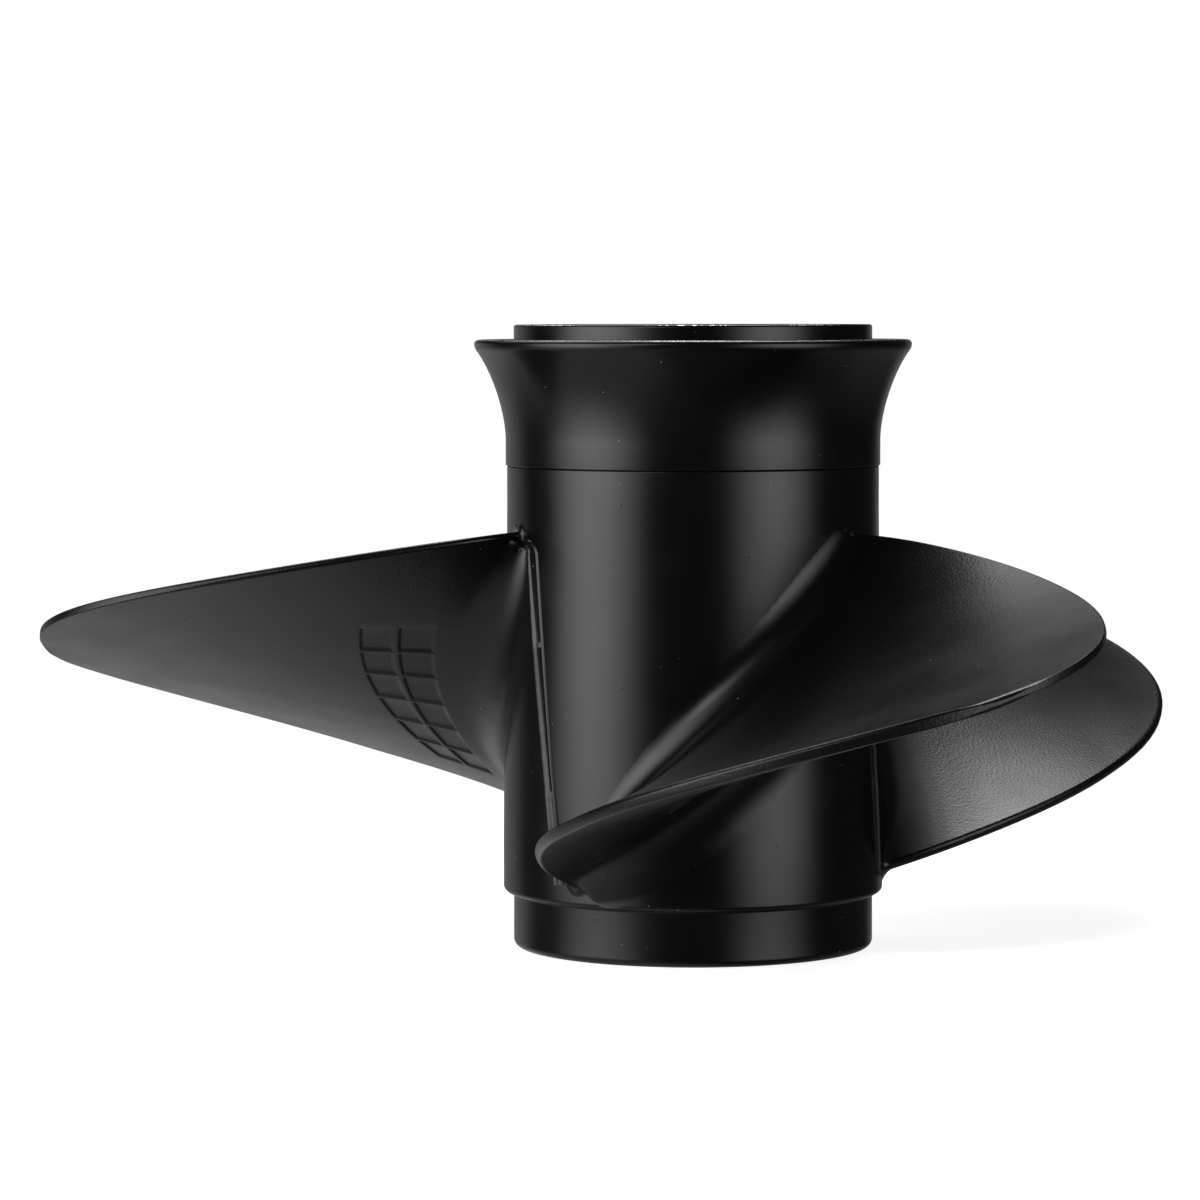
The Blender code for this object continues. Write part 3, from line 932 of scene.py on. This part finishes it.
class PROPELLER_OT_flare(Operator):
    """Turn the flared ring around the aft end of the barrel"""

    bl_idname = "propeller.flare"
    bl_label = "Flare"

    def execute(self, context):
        settings = context.scene.propeller
        hub = settings.hub
        inner = hub.ring_radius + FIT_GAP
        bm = lathe([
            (inner, SEAM_HEIGHT, 0.0, 1),
            (hub.foot_radius, SEAM_HEIGHT, 0.2 * MM, 5),
            (hub.foot_radius, FLARE_KNEE, 10.9 * MM, 28),
            (hub.lip_radius, LIP_HEIGHT, 0.7 * MM, 6),
            (hub.lip_radius, FLARE_TOP, 1.2 * MM, 10),
            (inner, FLARE_TOP, 0.0, 1),
        ])
        rim = {
            "rim_radius": hub.lip_radius - 0.9 * MM, "rim_height": FRONT_RIM + FLARE_TOP,
            "reach": 0.55 * MM, "patchiness": 0.4,
        }
        finish = painted("flare_paint", settings.finish, rim)
        finished_piece("diffuser_flare_casting", bm, finish, "flare_paint", "diffuser_flare")
        return {"FINISHED"}


class PROPELLER_OT_blades(Operator):
    """Wrap a skin around each blade, with root fillets that run onto the barrel"""

    bl_idname = "propeller.blades"
    bl_label = "Blades"

    def execute(self, context):
        settings = context.scene.propeller
        sections = [BladeSection(settings, distance) for distance in skin_distances(settings.blade)]
        loops = [section.loop() for section in sections]
        if len({len(loop) for loop in loops}) != 1:
            raise RuntimeError("the blade's sections have different numbers of points")

        def place(row, along, offset):
            return sections[row].point(along, offset)

        skins_around(
            "blade_{}_skin", "blade", (loops, place, CAP_ROWS), settings.finish, "blade_paint",
        )
        return {"FINISHED"}


def parting_path():
    """Points, outward directions and width shares down the parting line, in the unrolled barrel."""
    (top_angle, top), (bottom_angle, bottom) = PARTING_TOP, PARTING_BOTTOM
    across = top_angle * ROOT_CYLINDER, bottom_angle * ROOT_CYLINDER
    down = Vector((across[1] - across[0], bottom - top)).normalized()
    left = Vector((down.y, -down.x))
    corner = Vector((across[0], top))
    centre = corner + left * PARTING_HOOK
    points = []
    for step in range(RUN_STEPS):
        run = left * PARTING_RUN * (1.0 - step / RUN_STEPS)
        points.append((centre - down * PARTING_HOOK + run, -down, HOOK_SQUEEZE))
    for step in range(HOOK_STEPS):
        share = step / HOOK_STEPS
        turn = math.pi / 2 * (1.0 - share)
        out = -left * math.cos(turn) - down * math.sin(turn)
        squeeze = blend(HOOK_SQUEEZE, 1.0, share ** SQUEEZE_POWER)
        points.append((centre + out * PARTING_HOOK, out, squeeze))
    for step in range(PARTING_STEPS + 1):
        share = step / PARTING_STEPS
        points.append((corner.lerp(Vector((across[1], bottom)), share), -left, 1.0))
    return points


def parting_profile(share):
    """Closed profile (across, rise) of the double ridge at a share of its length."""
    crumb, wave = (noise.noise(Vector((share * scale, 0.0, NOISE_LAYER))) for scale in NOISE_SCALES)
    right = max(blend(*RIDGE_SPACING, share), LEAST_SPACING) / 2
    growth = min(share / LEFT_GROWTH, 1.0)
    width = blend(*LEFT_WIDTH, growth)
    left = -right - width / 2
    left_rise = blend(*LEFT_RISE, growth) * (1.0 + 0.10 * wave)
    slotted = clamped((share - SLOT_ENDS[0]) / SLOT_FADE)
    slotted *= clamped((SLOT_ENDS[1] - share) / SLOT_FADE)
    valley = blend(*VALLEY_RISE, slotted)
    bottom = valley - (valley - SLOT_BOTTOM) * slotted
    slot = right - SLOT_INSET + SLOT_WANDER * crumb + SLOT_WANDER * wave
    half = SLOT_WIDTH * (1.0 + 0.5 * crumb)
    foot = min(left + width, slot - half - VALLEY_WIDTH)
    flank = zip(LEFT_FLANK, (BURIED, 0.0, 0.75 * left_rise, left_rise))
    top = [
        *((left - out, rise) for out, rise in flank),
        *((blend(left, foot, step), blend(valley, left_rise, rise)) for step, rise in LEFT_FALL),
        (slot - half, valley), (slot, bottom), (slot + half, valley),
        (right - RIGHT_FLANK, RIGHT_RISE * 0.97),
        *((right + RIGHT_WIDTH * step, RIGHT_RISE * rise) for step, rise in RIGHT_FALL),
        (right + RIGHT_FOOT * RIGHT_WIDTH, BURIED),
    ]
    return top + [(across, 2 * BURIED) for across, _ in reversed(top[1:-1])]


class PROPELLER_OT_parting_lines(Operator):
    """Leave the mould's double parting ridge on the barrel between the blades"""

    bl_idname = "propeller.parting_lines"
    bl_label = "Parting lines"

    def execute(self, context):
        settings = context.scene.propeller
        path = parting_path()
        drop = PARTING_TOP[1] - PARTING_BOTTOM[1]
        shares = [clamped((PARTING_TOP[1] - middle.y) / drop) for middle, *_ in path]
        loops = [parting_profile(share) for share in shares]

        def place(row, across, rise):
            middle, out, squeeze = path[row]
            spot = middle + out * across * squeeze
            radius = barrel_radius(settings.hub, spot.y) + rise
            return around(spot.x / ROOT_CYLINDER, radius, spot.y)

        skins_around(
            "parting_ridge_{}", "parting", (loops, place), settings.finish, "hub_paint",
            sharp_angle=45.0, replaces=False,
        )
        return {"FINISHED"}


class PROPELLER_OT_inner_hub(Operator):
    """Turn the inner hub and cast its ribs onto it and onto the barrel"""

    bl_idname = "propeller.inner_hub"
    bl_label = "Inner hub and ribs"

    def execute(self, context):
        settings = context.scene.propeller
        hub = settings.hub
        front, aft = INNER_ENDS
        corners = (
            (hub.inner_bore, front), (hub.inner_radius, front),
            (hub.inner_radius, aft), (hub.inner_bore, aft),
        )
        bm = lathe([(*corner, INNER_ROUNDING, 5) for corner in corners], CORE_STEPS)
        finish = painted("core_paint", settings.finish, **CORE_LOOK)
        finished_piece("inner_hub_casting", bm, finish, "core_paint", "inner_hub")

        gap = hub.bore_radius - hub.inner_radius
        distances = [-FOOT_DEPTH, *fillet_rows(RIB_FILLET, RIB_ROWS), RIB_FILLET]
        distances += [gap - distance for distance in reversed(distances)]
        middle = sum(RIB_ENDS) / 2
        straight = (RIB_ENDS[1] - RIB_ENDS[0]) / 2 - hub.rib_thickness / 2

        loops = []
        for distance in distances:
            grown = fillet_growth(RIB_FILLET, min(distance, gap - distance))
            half = hub.rib_thickness / 2 + grown
            ends = ((end, half, RIB_SQUARENESS) for end in (-straight, straight))
            steps = range(RIB_SIDE_STEPS + 1)
            heights = [blend(-straight, straight, step / RIB_SIDE_STEPS) for step in steps]
            sides = ([(up, across) for up in heights] for across in (half, -half))
            loops.append(rounded_loop(*ends, *sides, RIB_END_STEPS))

        def place(row, up, across):
            radius = hub.inner_radius + distances[row]
            return around(across / radius, radius, middle + up)

        skins_around(
            "rib_{}_casting", "rib", (loops, place, RIB_CAP_ROWS), settings.finish, "core_paint",
            **CORE_LOOK,
        )
        return {"FINISHED"}


class PROPELLER_OT_bushing(Operator):
    """Mould the rubber bushing between the inner hub and the sleeve"""

    bl_idname = "propeller.bushing"
    bl_label = "Rubber bushing"

    def execute(self, context):
        settings = context.scene.propeller
        inner = settings.sleeve.radius + FIT_GAP
        outer = settings.hub.inner_bore - FIT_GAP
        middle = (inner + outer) / 2
        front, aft = BUSHING_ENDS
        end = [
            (inner, 0.0, 0.6 * MM, 4),
            (middle - 1.2 * MM, 0.2 * MM, 0.5 * MM, 3),
            (middle, 1.4 * MM, 1.0 * MM, 5),
            (outer - 1.0 * MM, 0.2 * MM, 0.7 * MM, 4),
            (outer, 2.0 * MM, 1.0 * MM, 4),
        ]
        bm = lathe([
            *((radius, front + depth, *rounding) for radius, depth, *rounding in end),
            *((radius, aft - depth, *rounding) for radius, depth, *rounding in reversed(end)),
        ], CORE_STEPS)
        finished_piece(
            "bushing_rubber_tube", bm, rubber_finish(settings.finish), "bushing_rubber",
            "rubber_bushing",
        )
        return {"FINISHED"}


class PROPELLER_OT_sleeve(Operator):
    """Turn the brass sleeve and broach its spline"""

    bl_idname = "propeller.sleeve"
    bl_label = "Splined sleeve"

    def execute(self, context):
        settings = context.scene.propeller
        sleeve = settings.sleeve
        front, aft = SLEEVE_ENDS
        corners = [(share, sleeve.groove_radius) for share in GROOVE_SHARES]
        corners += [(share, sleeve.tooth_radius) for share in TOOTH_SHARES]
        bm = bmesh.new()
        bore, outside = [], []
        for tooth in range(SPLINE_TEETH):
            for share, radius in corners:
                angle = math.tau * (tooth + share) / SPLINE_TEETH
                bore.append(bm.verts.new(around(angle, radius, front)))
                outside.append(bm.verts.new(around(angle, sleeve.radius, front)))
        rings = []
        for ring in (bore, outside):
            rings += [bm.edges.new((ring[i - 1], ring[i])) for i in range(len(ring))]
        annulus = bmesh.ops.bridge_loops(bm, edges=rings)["faces"]
        raised = bmesh.ops.extrude_face_region(bm, geom=annulus, use_keep_orig=True)["geom"]
        tops = [item for item in raised if isinstance(item, bmesh.types.BMVert)]
        bmesh.ops.translate(bm, verts=tops, vec=(0.0, 0.0, aft - front))
        bmesh.ops.recalc_face_normals(bm, faces=bm.faces)
        rims = [
            edge for edge in bm.edges
            if abs(edge.verts[0].co.z - edge.verts[1].co.z) < WELD_DISTANCE
            and edge.calc_face_angle(0.0) > SLEEVE_RIM_ANGLE
        ]
        bmesh.ops.bevel(
            bm, geom=rims, offset=SLEEVE_CHAMFER, offset_type="OFFSET", affect="EDGES",
            segments=2, profile=0.5, material=-1,
        )
        finished_piece(
            "sleeve_brass_tube", bm, brass_finish(settings.finish), "sleeve_brass",
            "splined_sleeve", sharp_angle=35.0,
        )
        return {"FINISHED"}


# Camera and lights


def add_light(name, azimuth, elevation, distance, size, radiance):
    """Adds a softbox that faces the propeller, brightest in its middle."""
    turn, rise = math.radians(azimuth), math.radians(elevation)
    direction = Vector((
        math.sin(turn) * math.cos(rise), -math.cos(turn) * math.cos(rise), math.sin(rise),
    ))
    data = bpy.data.lights.new(name, "AREA")
    data.shape = "RECTANGLE"
    data.size, data.size_y = size
    data.energy = radiance * math.pi * size[0] * size[1]
    data.use_nodes = True
    tree = data.node_tree
    place = add_node(tree, "ShaderNodeNewGeometry").outputs["Parametric"]
    split = add_node(tree, "ShaderNodeSeparateXYZ", {"Vector": place})
    fade = 1.0
    for axis in "XY":
        off_middle = maths(tree, "ABSOLUTE", maths(tree, "SUBTRACT", split.outputs[axis], 0.5))
        fade = maths(tree, "MULTIPLY", fade, ramp(tree, off_middle, 0.0, 0.5, 1.0, 0.0))
    tree.links.new(fade, tree.nodes["Emission"].inputs["Strength"])
    light = add_object(name, data)
    light.location = AIM + direction * distance
    light.rotation_euler = direction.to_track_quat("Z", "Y").to_euler()


def mixed_shaders(tree, share, first, second):
    """Mix of the shaders of two nodes."""
    inputs = {0: share, 1: first.outputs[0], 2: second.outputs[0]}
    return add_node(tree, "ShaderNodeMixShader", inputs).outputs[0]


def studio_world(studio):
    """White to the camera; to reflections a dark room with a grey floor and a pale back wall."""
    world = bpy.data.worlds.new("studio")
    world.use_nodes = True
    tree = world.node_tree
    tree.nodes.clear()
    place = add_node(tree, "ShaderNodeTexCoord").outputs["Generated"]
    front_right, right, back_left, up = (
        towards(tree, place, direction) for direction in (FRONT_RIGHT, RIGHT, BACK_LEFT, UP)
    )
    shade = ramp(tree, front_right, *FRONT_RIGHT_SHADE)
    shade = maths(tree, "MULTIPLY", shade, ramp(tree, right, *RIGHT_SHADE))
    floor = ramp(tree, up, *FLOOR_BORDER, to_high=studio.floor_glow)
    floor = maths(tree, "MULTIPLY", floor, shade)
    wall = maths(tree, "MULTIPLY", ramp(tree, back_left, *WALL_GLOW), ramp(tree, up, *WALL_TOP))
    glow = maths(tree, "ADD", maths(tree, "ADD", floor, wall), ROOM_GLOW)
    room = add_node(tree, "ShaderNodeBackground", {"Color": WHITE, "Strength": glow})
    white = add_node(tree, "ShaderNodeBackground", {"Color": WHITE, "Strength": 1.0})
    seen = add_node(tree, "ShaderNodeLightPath").outputs["Is Camera Ray"]
    add_node(tree, "ShaderNodeOutputWorld", {"Surface": mixed_shaders(tree, seen, room, white)})
    return world


def floor_finish():
    """Pale floor that the camera sees near the propeller, and that hides nothing from below."""
    made, tree, shader = new_material("pale_floor")
    shader.inputs["Base Color"].default_value = (0.8, 0.8, 0.8, 1.0)
    shader.inputs["Roughness"].default_value = 0.9
    shader.inputs["Specular IOR Level"].default_value = 0.1
    shader.inputs["Emission Color"].default_value = WHITE
    shader.inputs["Emission Strength"].default_value = 0.86
    clear = add_node(tree, "ShaderNodeBsdfTransparent")
    faded = ramp(tree, vector_length(tree, object_place(tree)), *FLOOR_FADE)
    behind = add_node(tree, "ShaderNodeNewGeometry").outputs["Backfacing"]
    seen = add_node(tree, "ShaderNodeLightPath").outputs["Is Camera Ray"]
    unseen = maths(tree, "SUBTRACT", 1.0, seen)
    hidden = maths(tree, "MAXIMUM", maths(tree, "MAXIMUM", faded, behind), unseen)
    final = mixed_shaders(tree, hidden, shader, clear)
    tree.links.new(final, tree.nodes["Material Output"].inputs["Surface"])
    return made


class PROPELLER_OT_stage(Operator):
    """Set up the pale floor, the soft studio lights and the camera"""

    bl_idname = "propeller.stage"
    bl_label = "Stage"

    def execute(self, context):
        scene = context.scene
        studio = scene.propeller.studio
        bm = bmesh.new()
        bmesh.ops.create_circle(bm, cap_ends=True, segments=FLOOR_STEPS, radius=FLOOR_RADIUS)
        bmesh.ops.translate(bm, verts=bm.verts, vec=(0.0, 0.0, CAD_BOX[0].z))
        add_mesh("floor", bm, floor_finish())

        for name, (azimuth, elevation, distance, *size) in SOFTBOXES.items():
            radiance = getattr(studio, f"{name}_light")
            add_light(f"{name}_softbox", azimuth, elevation, distance, size, radiance)
        scene.world = studio_world(studio)

        data = bpy.data.cameras.new("camera")
        data.sensor_fit = "HORIZONTAL"
        data.sensor_width = SENSOR_WIDTH
        data.lens = studio.lens
        camera = add_object("camera", data)
        camera.location = (0.0, -studio.camera_distance, FRONT_RIM + studio.camera_height)
        level = Euler((math.pi / 2 - CAMERA_PITCH, 0.0, CAMERA_YAW)).to_matrix()
        camera.rotation_euler = (level @ Matrix.Rotation(CAMERA_ROLL, 3, "Z")).to_euler()
        scene.camera = camera
        scene.view_settings.view_transform = "Standard"
        return {"FINISHED"}


class VIEW3D_PT_propeller(Panel):
    """Settings and building steps of the propeller"""

    bl_label = "Propeller"
    bl_space_type = "VIEW_3D"
    bl_region_type = "UI"
    bl_category = "Propeller"

    def draw(self, context):
        settings = context.scene.propeller
        groups = (settings.blade, settings.hub, settings.sleeve, settings.finish, settings.studio)
        for group in groups:
            box = self.layout.box()
            box.label(text=group.bl_rna.name)
            for name in group.__annotations__:
                box.prop(group, name)
        for operator in OPERATORS:
            self.layout.operator(operator.bl_idname)


OPERATORS = (
    PROPELLER_OT_stage,
    PROPELLER_OT_barrel,
    PROPELLER_OT_flare,
    PROPELLER_OT_blades,
    PROPELLER_OT_parting_lines,
    PROPELLER_OT_inner_hub,
    PROPELLER_OT_bushing,
    PROPELLER_OT_sleeve,
)
CLASSES = (
    BladeSizes, HubSizes, SleeveSizes, Finishes, Studio, PropellerSettings,
    *OPERATORS, VIEW3D_PT_propeller,
)


def register():
    """Adds the classes and the settings to Blender."""
    for cls in CLASSES:
        bpy.utils.register_class(cls)
    bpy.types.Scene.propeller = PointerProperty(type=PropellerSettings)


def unregister():
    """Takes the settings and the classes out again."""
    del bpy.types.Scene.propeller
    for cls in reversed(CLASSES):
        bpy.utils.unregister_class(cls)


def main():
    """Builds the stage and all pieces."""
    register()
    for operator in OPERATORS:
        _, name = operator.bl_idname.split(".")
        getattr(bpy.ops.propeller, name)()


if __name__ == "__main__":
    main()
